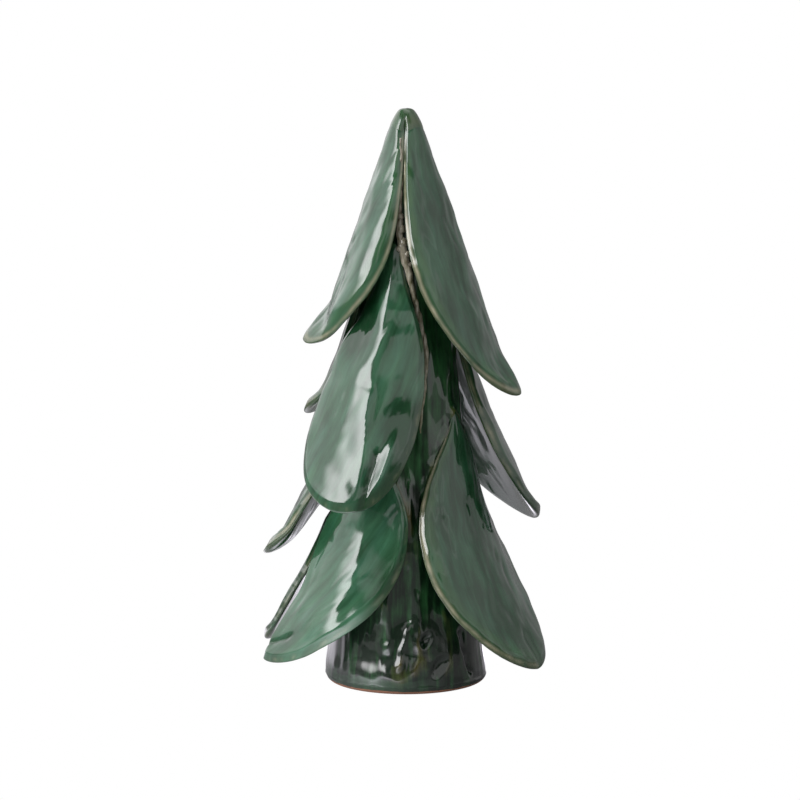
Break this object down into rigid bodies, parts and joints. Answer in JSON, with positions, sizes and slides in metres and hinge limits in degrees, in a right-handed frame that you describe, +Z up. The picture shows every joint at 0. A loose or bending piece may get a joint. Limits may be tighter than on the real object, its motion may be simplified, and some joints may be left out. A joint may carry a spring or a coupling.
{
  "type": "christmas tree figurine",
  "caption": "Glazed ceramic christmas tree: a hollow thrown cone dressed in overlapping leaf-shaped clay slabs that bend away from it towards their tips.",
  "frame": {"origin": "centre of the foot, on the surface that the tree stands on, on the cone's axis", "axes": "+Z up along the cone's axis, -Y towards the viewer of the front, +X to the viewer's right"},
  "size_m": [0.1389, 0.1142, 0.28],
  "materials": {
    "cone_glaze": "deep green glossy glaze over clay, bare terracotta at the foot ring",
    "slab_glaze": "sage to bottle green glossy glaze that breaks pale over the rims"
  },
  "bodies": {
    "root": {"thrown_cone": "cone_glaze", "crown_leaf_left": "slab_glaze", "crown_leaf_right": "slab_glaze", "crown_leaf_back": "slab_glaze", "middle_leaf_front": "slab_glaze", "middle_leaf_left": "slab_glaze", "middle_leaf_back": "slab_glaze", "middle_leaf_right": "slab_glaze", "filler_leaf_left": "slab_glaze", "filler_leaf_back": "slab_glaze", "low_leaf_front": "slab_glaze", "low_leaf_right": "slab_glaze", "low_leaf_left": "slab_glaze", "low_leaf_back": "slab_glaze", "low_leaf_back_right": "slab_glaze"}
  },
  "joints": []
}
